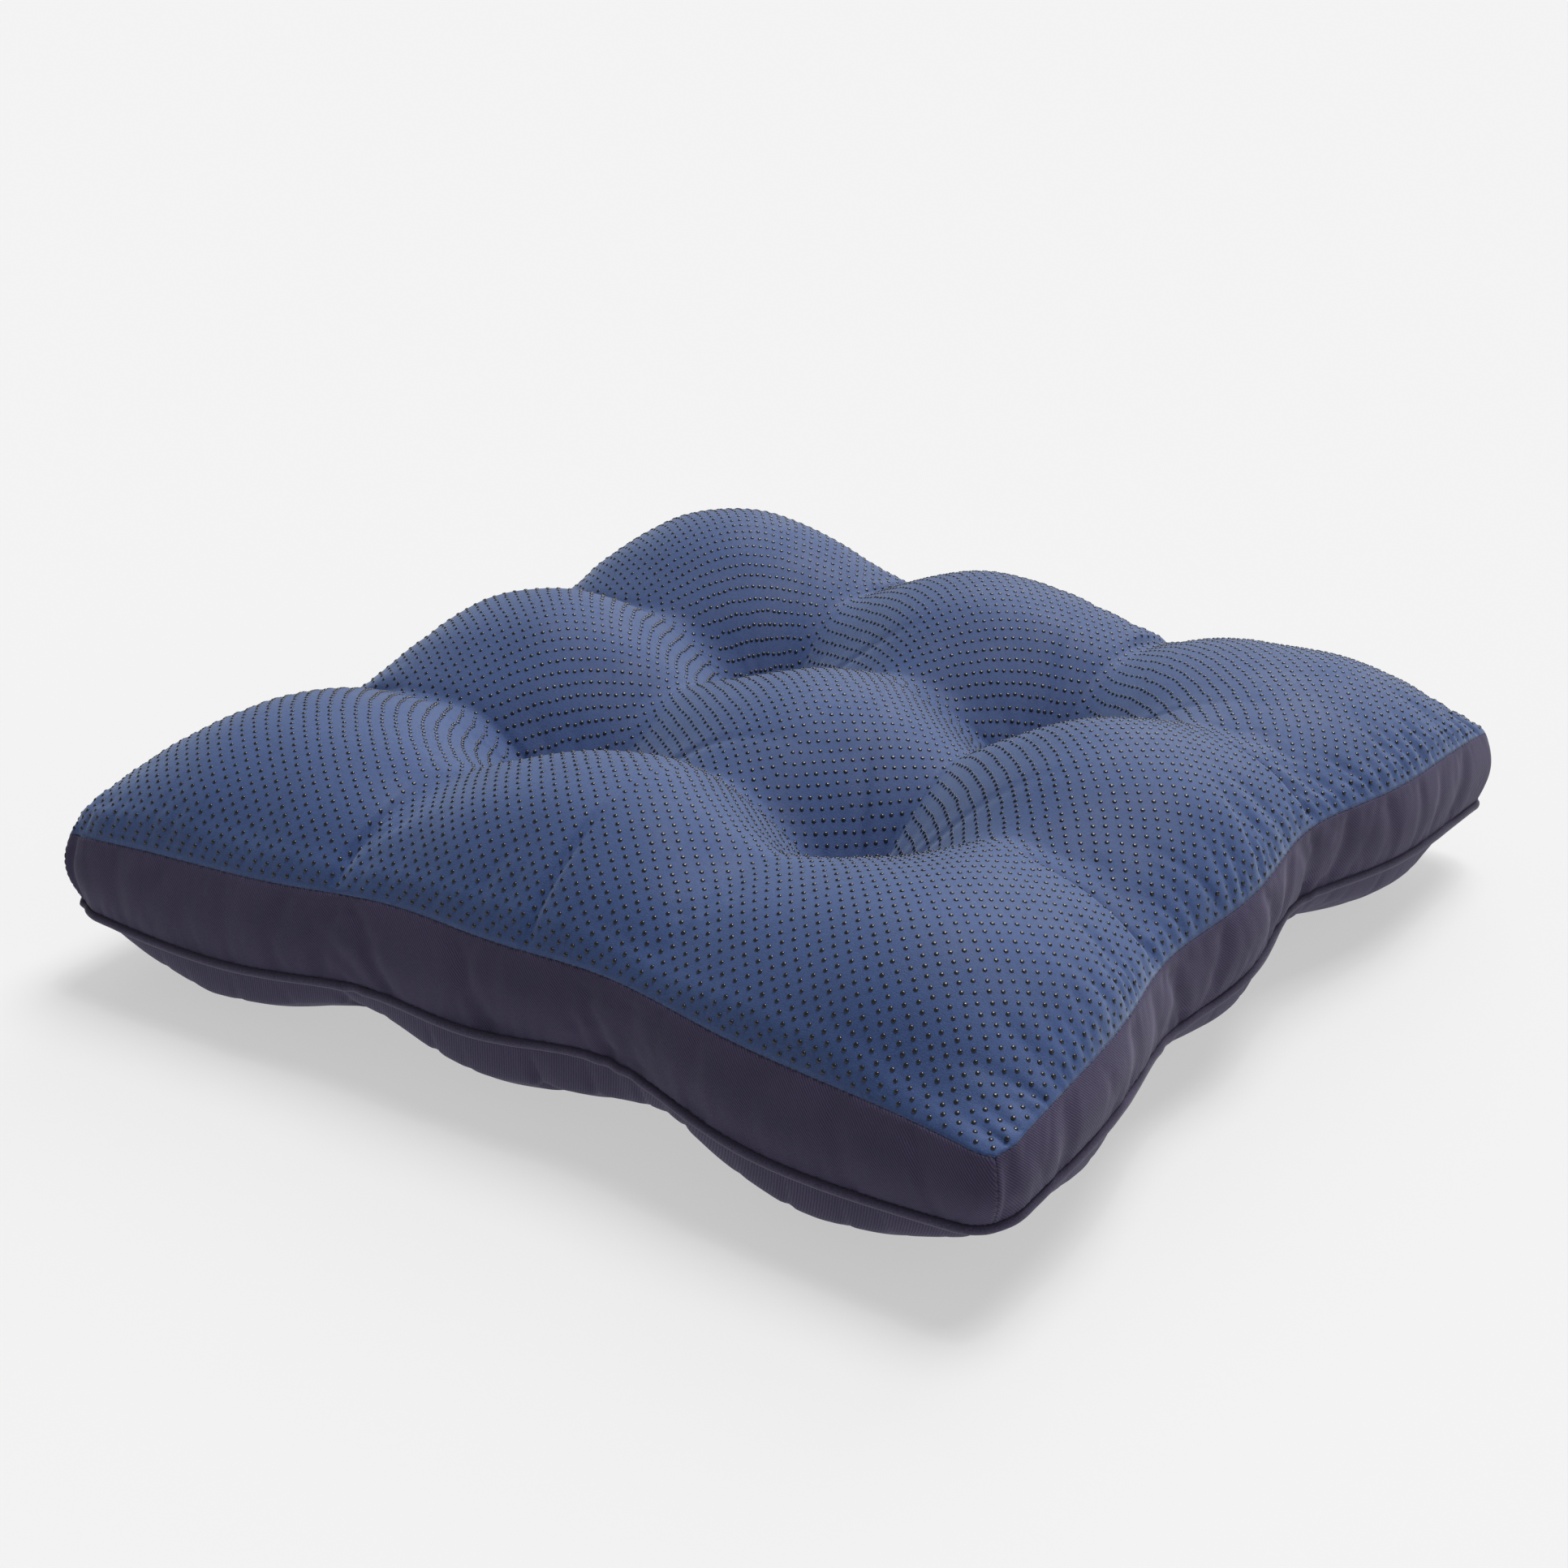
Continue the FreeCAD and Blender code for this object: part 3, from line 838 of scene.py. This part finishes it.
def brushed_cloth():
    """Blue cloth with a short brushed nap, a little worn and lighter where the nap is flattened."""
    material, shader, add, link = new_material("brushed_blue_cloth")
    where = add("ShaderNodeTexCoord").outputs["Object"]
    nap = noise(add, where, scale=1900.0, roughness=0.6)
    patches = noise(add, where, scale=55.0, detail=3.0, roughness=0.55)
    brushed = add("ShaderNodeMapping", n0=where, n3=(260.0, 900.0, 500.0)).outputs[0]
    streaks = noise(add, brushed, scale=1.0)
    base = mixed(add, stretched_range(add, nap, 0.3, 0.7), BLUE_DARK, BLUE_LIGHT)
    base = mixed(add, stretched_range(add, patches, 0.35, 0.65, to_high=0.35), base, BLUE_LIGHT)
    base = mixed(add, stretched_range(add, streaks, 0.35, 0.65, to_high=0.30), base, BLUE_DARK)
    link(base, shader.inputs["Base Color"])
    link(stretched_range(add, patches, 0.3, 0.7, 0.60, 0.72), shader.inputs["Roughness"])
    set_inputs(shader, {"Specular IOR Level": 0.30, "Sheen Weight": 0.35, "Sheen Roughness": 0.5,
                        "Sheen Tint": (0.70, 0.82, 1.0, 1.0)})
    add_relief(add, link, shader, nap, strength=0.45, distance=0.4 * MM)
    return material


def twill(name, direction):
    """Dark navy twill. direction is the way across its diagonal ribs."""
    material, shader, add, link = new_material(name)
    where = add("ShaderNodeTexCoord").outputs["Object"]
    ribs = [2 * math.pi / TWILL_PITCH * x for x in direction]
    across = add("ShaderNodeVectorMath", {"operation": "DOT_PRODUCT"}, n0=where, n1=ribs).outputs["Value"]
    uneven = multiplied_and_added(add, noise(add, where, scale=600.0), 2.6, across)
    rib = add("ShaderNodeMath", {"operation": "SINE"}, n0=uneven).outputs[0]
    fuzz = noise(add, where, scale=1500.0, roughness=0.6)
    shade = noise(add, where, scale=45.0, detail=3.0, roughness=0.55)
    base = mixed(add, stretched_range(add, rib, -1.0, 1.0), TWILL_DARK, TWILL_LIGHT)
    base = mixed(add, stretched_range(add, fuzz, 0.62, 0.78, to_high=0.30), base, TWILL_FUZZ)
    base = mixed(add, stretched_range(add, shade, 0.35, 0.65, to_high=0.30), base, TWILL_DARK)
    link(base, shader.inputs["Base Color"])
    link(stretched_range(add, fuzz, 0.3, 0.7, 0.72, 0.88), shader.inputs["Roughness"])
    set_inputs(shader, {"Specular IOR Level": 0.30, "Sheen Weight": 0.16, "Sheen Roughness": 0.5,
                        "Sheen Tint": (0.75, 0.72, 0.95, 1.0)})
    height = multiplied_and_added(add, rib, 0.35, fuzz)
    add_relief(add, link, shader, height, strength=0.4, distance=0.3 * MM)
    return material


def plain_fibre(name, dark, light, scale, roughness, sheen):
    """Thread, cord, loose fibre or rubber: two mixed tones with a fine relief."""
    material, shader, add, link = new_material(name)
    where = add("ShaderNodeTexCoord").outputs["Object"]
    grain = noise(add, where, scale, detail=3.0, roughness=0.6)
    link(mixed(add, stretched_range(add, grain, 0.3, 0.7), dark, light), shader.inputs["Base Color"])
    link(stretched_range(add, grain, 0.3, 0.7, roughness, roughness + 0.1), shader.inputs["Roughness"])
    set_inputs(shader, {"Sheen Weight": sheen})
    add_relief(add, link, shader, grain, strength=0.3, distance=0.2 * MM)
    return material


def black_rubber():
    return plain_fibre("black_rubber", (0.006, 0.006, 0.008), (0.014, 0.014, 0.018),
                       scale=900.0, roughness=0.12, sheen=0.0)


def dark_thread():
    return plain_fibre("dark_thread", (0.012, 0.011, 0.022), (0.035, 0.032, 0.055),
                       scale=2500.0, roughness=0.6, sheen=0.2)


def cotton_cord():
    return plain_fibre("cotton_cord", (0.50, 0.48, 0.42), (0.70, 0.67, 0.60),
                       scale=900.0, roughness=0.85, sheen=0.2)


def piping_twill():
    return plain_fibre("piping_twill", TWILL_DARK, TWILL_LIGHT, scale=1500.0, roughness=0.8, sheen=0.16)


def loose_fibre():
    return plain_fibre("loose_fibre", (0.70, 0.70, 0.68), (0.85, 0.85, 0.83),
                       scale=300.0, roughness=0.9, sheen=0.3)


# ---------------------------------------------------------------- small repeated parts

def dot_shape():
    """A domed rubber dot: rings up to a tip, and a base just inside the cloth."""
    angles = np.arange(DOT_SIDES) * 2 * np.pi / DOT_SIDES
    points = [(r * DOT_RADIUS * math.cos(a), r * DOT_RADIUS * math.sin(a), h * DOT_HEIGHT)
              for r, h in DOT_PROFILE for a in angles]
    points.append((0.0, 0.0, DOT_HEIGHT))
    faces = [list(range(DOT_SIDES))[::-1]]
    for ring in range(len(DOT_PROFILE) - 1):
        start = ring * DOT_SIDES
        for k in range(DOT_SIDES):
            a = start + k
            b = start + (k + 1) % DOT_SIDES
            faces.append([a, b, b + DOT_SIDES, a + DOT_SIDES])
    last = (len(DOT_PROFILE) - 1) * DOT_SIDES
    tip = len(points) - 1
    faces += [[last + k, last + (k + 1) % DOT_SIDES, tip] for k in range(DOT_SIDES)]
    return np.array(points), faces


def stitch_shape(length, radius, bow):
    """One stitch: a short thread whose two ends dive into the cloth. Along x, out along z."""
    steps = np.linspace(-1, 1, 7)
    line = np.stack([steps * length / 2, np.zeros(len(steps)), bow * (1 - 1.6 * steps ** 4)], -1)
    return tube(line, radius * (1 - 0.25 * steps ** 6), THREAD_SIDES, False)


def read_at(grid, lines_u, lines_v, u, v):
    """Values of a fine grid at places u, v from 0 to 1."""
    i = np.interp(u, lines_u, np.arange(len(lines_u)))
    j = np.interp(v, lines_v, np.arange(len(lines_v)))
    a = np.minimum(i.astype(int), len(lines_u) - 2)
    b = np.minimum(j.astype(int), len(lines_v) - 2)
    f = (i - a)[:, None]
    g = (j - b)[:, None]
    return (grid[a, b] * (1 - f) * (1 - g) + grid[a + 1, b] * f * (1 - g)
            + grid[a, b + 1] * (1 - f) * g + grid[a + 1, b + 1] * f * g)


def dot_lattice():
    """Places of the dots on the cloth, in rows that are staggered by half a step."""
    step = 1 / DOTS_ALONG_A_SIDE
    rows = np.arange(DOTS_ALONG_A_SIDE + 1) * step
    u, v = np.meshgrid(rows, rows, indexing="ij")
    u = np.concatenate([u.ravel(), u.ravel() + step / 2])
    v = np.concatenate([v.ravel(), v.ravel() + step / 2])
    u = u + RANDOM.normal(0, DOT_STRAY, u.size) / SIDE
    v = v + RANDOM.normal(0, DOT_STRAY, v.size) / SIDE
    margin = 1.1 * DOT_RADIUS / SIDE
    keep = (np.minimum(u, v) > margin) & (np.maximum(u, v) < 1 - margin)
    return u[keep], v[keep]


def share_of_length(surface):
    """How much of each row's length along the cloth lies before each of its points."""
    pieces = np.linalg.norm(np.diff(surface, axis=0), axis=-1)
    total = np.vstack([np.zeros(surface.shape[1]), np.cumsum(pieces, axis=0)])
    return total / total[-1]


def along_the_cloth(surface, lines, wanted, across):
    """Places whose spacing is even along the cloth, which plan places are not on its steep sides."""
    shares = share_of_length(surface)
    columns = np.abs(across[:, None] - lines).argmin(axis=1)
    places = np.zeros(len(wanted))
    for column in np.unique(columns):
        mine = columns == column
        places[mine] = np.interp(wanted[mine], shares[:, column], lines)
    return places


def add_dots(surface, lines, material):
    """Dots over the whole top, in four pieces, one for each quarter."""
    even_u, even_v = dot_lattice()
    u = along_the_cloth(surface, lines, even_u, even_v)
    v = along_the_cloth(surface.transpose(1, 0, 2), lines, even_v, even_u)
    centres = read_at(surface, lines, lines, u, v)
    out = unit(read_at(normals(surface), lines, lines, u, v))
    tilted_up = np.broadcast_to(UP, out.shape) + [0, 0.3, 0]
    along = unit(np.cross(tilted_up, out))
    side = np.cross(out, along)
    size = RANDOM.uniform(0.92, 1.06, (len(u), 1))
    quarters = {"front_left": (u < 0.5) & (v < 0.5), "front_right": (u >= 0.5) & (v < 0.5),
                "back_right": (u >= 0.5) & (v >= 0.5), "back_left": (u < 0.5) & (v >= 0.5)}
    shape, shape_faces = dot_shape()
    for name, mine in quarters.items():
        points, faces = stamped(shape, shape_faces, centres[mine], (along * size)[mine],
                                (side * size)[mine], (out * size)[mine])
        new_piece("dots_" + name, points, faces, material, "dotted_fabric", ["top_panel"])


def stitched_row(name, line, out, material, closed):
    """A row of stitches that lie just below the bottom of a seam's groove."""
    if closed:
        line = np.vstack([line, line[:1]])
        out = np.vstack([out, out[:1]])
    lengths = np.linalg.norm(np.diff(line, axis=0), axis=-1)
    total = np.concatenate([[0], np.cumsum(lengths)])
    count = int(total[-1] / STITCH)
    middles = (np.arange(count) + 0.5) * total[-1] / count

    def at(places, values):
        return np.stack([np.interp(places, total, values[:, k]) for k in range(3)], -1)
    reach = 0.4 * STITCH
    along = unit(at(middles + reach, line) - at(middles - reach, line))
    outward = unit(at(middles, out))
    side = unit(np.cross(outward, along))
    outward = np.cross(along, side)
    shape, shape_faces = stitch_shape(STITCH_LENGTH, THREAD_RADIUS, STITCH_BOW)
    sunk = at(middles, line) - outward * THREAD_SUNK
    points, faces = stamped(shape, shape_faces, sunk, along, side, outward)
    new_piece(name, points, faces, material, "thread", [name])


def add_piping(ring, out):
    """The piping: a cord in a folded strip of twill, caught in the lower seam."""
    centre = ring + out * PIPING_RADIUS * PIPING_STANDOUT
    places = np.arange(len(ring)) / len(ring)
    uneven = smooth_noise(230, 0.035)(places * 230) + smooth_noise(61, 0.03)(places * 61)
    cover = tube(centre, PIPING_RADIUS * (1 + uneven), PIPING_SIDES, True)
    new_piece("piping_cover", *cover, piping_twill(), "twill", ["piping_cover"])
    cord = tube(centre, PIPING_RADIUS * CORD_SHARE, CORD_SIDES, True)
    new_piece("piping_cord", *cord, cotton_cord(), "cord", ["piping_cord"])


def joined(shapes):
    """Several (points, faces) as one."""
    points = np.zeros((0, 3))
    faces = []
    for more, more_faces in shapes:
        faces += [[i + len(points) for i in face] for face in more_faces]
        points = np.vstack([points, more])
    return points, faces


def twisted_strands(start, end):
    share = np.linspace(0, 1, STRAND_POINTS)[:, None]
    turns = share * 2 * np.pi * STRAND_TURNS
    for phase in (0, np.pi):
        twist = np.hstack([np.cos(turns + phase), np.sin(turns + phase), np.zeros_like(turns)])
        line = start + (end - start) * share + twist * STRAND_TWIST
        yield tube(line, STRAND_RADIUS, THREAD_SIDES, False, np.array([0.0, 1.0, 0.0]))


def tie_bars(end, out):
    """Three short stitches side by side across a dimple."""
    shape, shape_faces = stitch_shape(TIE_BAR, TIE_BAR_RADIUS, TIE_BAR_BOW)
    across = np.array([[1.0, 0.0, 0.0]] * 3)
    side = np.array([[0.0, 1.0, 0.0]] * 3)
    centres = end + side * np.array([[-1.0], [0.0], [1.0]]) * MM + out * TIE_BAR_LIFT
    return stamped(shape, shape_faces, centres, across, side * out[2], np.array([out] * 3))


def add_tuft_tie(name, top, under, material):
    """A tie: two strands through the fill and three short stitches on either face."""
    shapes = list(twisted_strands(under, top)) + [tie_bars(top, UP), tie_bars(under, -UP)]
    new_piece(name, *joined(shapes), material, "thread", [name])


# ---------------------------------------------------------------- the cushion

class Cover:
    """The settled cover: its vertices, their normals and the grids that number them."""

    def __init__(self):
        self.top, self.under, self.band = index_grids()
        self.faces = cloth_faces(self.top, self.under, self.band)
        self.places = held_shape(self.top, self.under, self.band)
        self.places = inflate(self.places, self.top, self.under, self.band)
        self.normals = vertex_normals(self.places, self.faces)
        self.lines = lines_across()

    def patch(self, grid, across):
        """A fine grid of points over part of the cover, and the outward directions there."""
        surface = refined(self.places[grid], self.lines, across)
        return surface, unit(refined(self.normals[grid], self.lines, across))

    def tufts(self, grid):
        return [self.places[grid[i, j]] for i, j in tuft_cells()]


def new_padded_piece(name, points, faces, material, slot):
    new_piece(name, points, faces, material, slot, [name])


def add_top(cover, rows):
    surface, outward = cover.patch(cover.top, cover.lines)
    depth = panel_depth(surface, cover.lines, "top", cover.tufts(cover.top), rows)
    points, faces, face = closed_patch(surface, outward, depth)
    new_padded_piece("top_panel", points, faces, brushed_cloth(), "dotted_fabric")
    add_dots(face, cover.lines, black_rubber())


def add_underside(cover, rows):
    surface, outward = cover.patch(cover.under, cover.lines)
    depth = panel_depth(surface, cover.lines, "piping", cover.tufts(cover.under), rows)
    points, faces, _ = closed_patch(surface, outward, depth, on_floor=True)
    new_padded_piece("bottom_panel", points, faces, twill("twill_underside", (1.0, 1.0, 0.0)), "twill")


def add_gussets(cover, rows, thread):
    """The four gusset strips with their corner seams, and the piping and seam threads along them."""
    front_back = twill("twill_front_back", (1.0, 0.0, 1.0))
    left_right = twill("twill_sides", (0.0, 1.0, 1.0))
    cloths = {"front": front_back, "right": left_right, "back": front_back, "left": left_right}
    heights = np.linspace(0, 1, FINE_ROWS_UP_GUSSET)
    piping_line, piping_out, top_line, top_out = [], [], [], []
    for number, name in enumerate(SIDE_NAMES):
        surface, outward = cover.patch(side_of_band(cover.band, number), heights)
        depth = gusset_depth(surface, cover.lines, heights, name, rows[name])
        points, faces, face = closed_patch(surface, outward, depth)
        new_padded_piece("gusset_" + name, points, faces, cloths[name], "twill")
        stitched_row("corner_thread_" + CORNER_NAMES[number], face[0, 2:-2], outward[0, 2:-2], thread, False)
        piping_line.append(surface[:-1, 0])
        piping_out.append(outward[:-1, 0])
        top_line.append(face[:-1, -1])
        top_out.append(outward[:-1, -1])
    ring = np.vstack(piping_line)
    out = unit(np.vstack(piping_out))
    add_piping(ring, out)
    stitched_row("top_seam_thread", np.vstack(top_line), unit(np.vstack(top_out)), thread, True)
    stitched_row("piping_seam_thread", ring - out * PIPING_GROOVE[0], out, thread, True)


def add_ties(cover, thread):
    for name, top, under in zip(CORNER_NAMES, cover.tufts(cover.top), cover.tufts(cover.under)):
        add_tuft_tie("tuft_tie_" + name, top, under, thread)


def add_fill(cover):
    inside = cover.places - cover.normals * FILL_INSET
    new_padded_piece("fibre_fill", inside, cover.faces, loose_fibre(), "polyester_fibre")


def build_cushion():
    cover = Cover()
    thread = dark_thread()
    top_rows = {name: pucker_rows("top") for name in SIDE_NAMES}
    under_rows = {name: pucker_rows("piping") for name in SIDE_NAMES}
    add_top(cover, top_rows)
    add_underside(cover, under_rows)
    add_gussets(cover, top_rows, thread)
    add_ties(cover, thread)
    add_fill(cover)


# ---------------------------------------------------------------- floor, light and camera

def add_floor():
    mesh = bpy.data.meshes.new("floor")
    corners = [(-1, -1), (1, -1), (1, 1), (-1, 1)]
    mesh.from_pydata([(x * FLOOR_REACH, y * FLOOR_REACH, -FLOOR_DROP) for x, y in corners], [],
                     [(0, 1, 2, 3)])
    material, shader, _, _ = new_material("pale_floor")
    set_inputs(shader, {"Base Color": (FLOOR_TONE, FLOOR_TONE, FLOOR_TONE, 1.0), "Roughness": 1.0,
                        "Specular IOR Level": 0.0, "Emission Color": (1.0, 1.0, 1.0, 1.0),
                        "Emission Strength": FLOOR_GLOW})
    mesh.materials.append(material)
    floor = bpy.data.objects.new("floor", mesh)
    bpy.context.scene.collection.objects.link(floor)


def add_lights():
    world = bpy.data.worlds.new("studio")
    bpy.context.scene.world = world
    world.use_nodes = True
    background = world.node_tree.nodes["Background"]
    set_inputs(background, {"Color": (1.0, 1.0, 1.0, 1.0), "Strength": SKY})
    for name, direction, strength, spread in SOFT_LIGHTS:
        light = bpy.data.lights.new(name, "SUN")
        light.energy = strength
        light.angle = math.radians(spread)
        lamp = bpy.data.objects.new(name, light)
        lamp.rotation_euler = Vector(direction).to_track_quat("Z", "Y").to_euler()
        bpy.context.scene.collection.objects.link(lamp)


def add_camera():
    azimuth = math.radians(CAMERA_AZIMUTH)
    elevation = math.radians(CAMERA_ELEVATION)
    back = Vector((math.sin(azimuth) * math.cos(elevation), -math.cos(azimuth) * math.cos(elevation),
                   math.sin(elevation)))
    data = bpy.data.cameras.new("camera")
    data.lens = CAMERA_LENS
    data.sensor_width = 36.0
    data.clip_end = 100.0
    camera = bpy.data.objects.new("camera", data)
    camera.location = Vector(CAMERA_TARGET) + back * CAMERA_DISTANCE
    camera.rotation_euler = back.to_track_quat("Z", "Y").to_euler()
    bpy.context.scene.collection.objects.link(camera)
    bpy.context.scene.camera = camera


bpy.context.scene.view_settings.view_transform = "Standard"
build_cushion()
add_floor()
add_lights()
add_camera()
